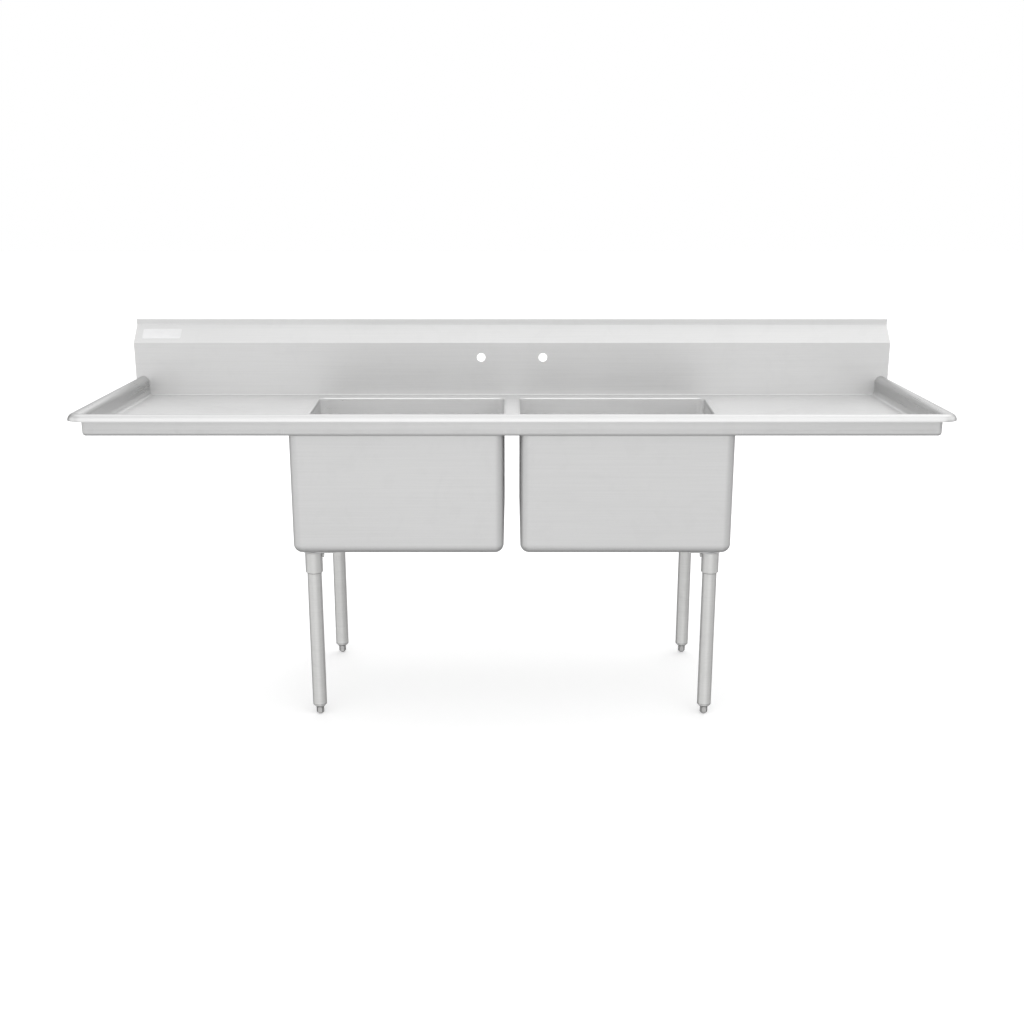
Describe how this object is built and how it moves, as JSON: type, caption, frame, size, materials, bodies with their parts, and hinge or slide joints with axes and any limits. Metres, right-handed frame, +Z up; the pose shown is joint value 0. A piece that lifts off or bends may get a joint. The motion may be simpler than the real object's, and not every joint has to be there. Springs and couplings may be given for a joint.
{
  "type": "two compartment commercial sink",
  "caption": "Free-standing stainless sink with deep bowls, sloped drainboards on both sides, coved rolled rim, tall backsplash with faucet holes, and legs with screw feet.",
  "frame": {"origin": "on the floor, under the middle of the sink's bounding box", "axes": "+X along the backsplash to the right as seen from the front, +Y towards the wall, +Z up"},
  "size_m": [2.486, 0.7792, 1.1085],
  "materials": {
    "black_rubber": "matt rubber",
    "bolt_steel": "plain stainless fastener",
    "bowl_steel": "brushed stainless sheet, satin, polished corners",
    "cast_nut": "cast nut, dull",
    "fibre_washer": "pressed fibre",
    "foot_metal": "machined foot, bright edges",
    "insert_metal": "satin zinc-coated insert",
    "label_vinyl": "blank metallic plate, no lettering",
    "leg_tube": "brushed stainless tube, grain round the tube",
    "polished_steel": "polished stainless drain parts",
    "rim_steel": "brushed stainless, finer polish on the roll",
    "sheet_steel": "brushed stainless sheet, satin",
    "socket_steel": "satin stainless casting",
    "splash_steel": "brushed stainless sheet, grain along the splash",
    "white_plastic": "nylon washer"
  },
  "bodies": {
    "sink": {"backsplash": "splash_steel", "centre_bridge": "sheet_steel", "drain_body_left": "polished_steel", "drain_body_right": "polished_steel", "drain_friction_washer_left": "fibre_washer", "drain_friction_washer_right": "fibre_washer", "drain_gasket_left": "black_rubber", "drain_gasket_right": "black_rubber", "drain_locknut_left": "cast_nut", "drain_locknut_right": "cast_nut", "drain_slip_nut_left": "cast_nut", "drain_slip_nut_right": "cast_nut", "drain_tail_washer_left": "white_plastic", "drain_tail_washer_right": "white_plastic", "drain_tailpiece_left": "polished_steel", "drain_tailpiece_right": "polished_steel", "foot_insert_front_left": "insert_metal", "foot_insert_front_right": "insert_metal", "foot_insert_rear_left": "insert_metal", "foot_insert_rear_right": "insert_metal", "front_rim": "rim_steel", "label_plate": "label_vinyl", "left_bowl": "bowl_steel", "left_drainboard": "sheet_steel", "left_drainboard_channel": "sheet_steel", "left_rim": "rim_steel", "left_rim_corner": "rim_steel", "leg_front_left": "leg_tube", "leg_front_right": "leg_tube", "leg_gusset_front_left": "sheet_steel", "leg_gusset_front_right": "sheet_steel", "leg_gusset_rear_left": "sheet_steel", "leg_gusset_rear_right": "sheet_steel", "leg_rear_left": "leg_tube", "leg_rear_right": "leg_tube", "leg_set_screws": "bolt_steel", "leg_socket_front_left": "socket_steel", "leg_socket_front_right": "socket_steel", "leg_socket_rear_left": "socket_steel", "leg_socket_rear_right": "socket_steel", "right_bowl": "bowl_steel", "right_drainboard": "sheet_steel", "right_drainboard_channel": "sheet_steel", "right_rim": "rim_steel", "right_rim_corner": "rim_steel"},
    "foot_front_left": {"foot_front_left": "foot_metal"},
    "foot_front_right": {"foot_front_right": "foot_metal"},
    "foot_rear_left": {"foot_rear_left": "foot_metal"},
    "foot_rear_right": {"foot_rear_right": "foot_metal"},
    "strainer_left": {"strainer_basket_left": "polished_steel", "strainer_knob_left": "polished_steel", "strainer_stopper_left": "black_rubber"},
    "strainer_right": {"strainer_basket_right": "polished_steel", "strainer_knob_right": "polished_steel", "strainer_stopper_right": "black_rubber"}
  },
  "joints": [
    {"name": "foot_front_left_screw", "type": "slide", "parent": "sink", "child": "foot_front_left", "axis": [0, 0, -1], "range_m": [0, 0.025]},
    {"name": "foot_front_right_screw", "type": "slide", "parent": "sink", "child": "foot_front_right", "axis": [0, 0, -1], "range_m": [0, 0.025]},
    {"name": "foot_rear_left_screw", "type": "slide", "parent": "sink", "child": "foot_rear_left", "axis": [0, 0, -1], "range_m": [0, 0.025]},
    {"name": "foot_rear_right_screw", "type": "slide", "parent": "sink", "child": "foot_rear_right", "axis": [0, 0, -1], "range_m": [0, 0.025]},
    {"name": "strainer_left_lift", "type": "slide", "parent": "sink", "child": "strainer_left", "axis": [0, 0, 1], "range_m": [0, 0.46]},
    {"name": "strainer_right_lift", "type": "slide", "parent": "sink", "child": "strainer_right", "axis": [0, 0, 1], "range_m": [0, 0.46]}
  ]
}
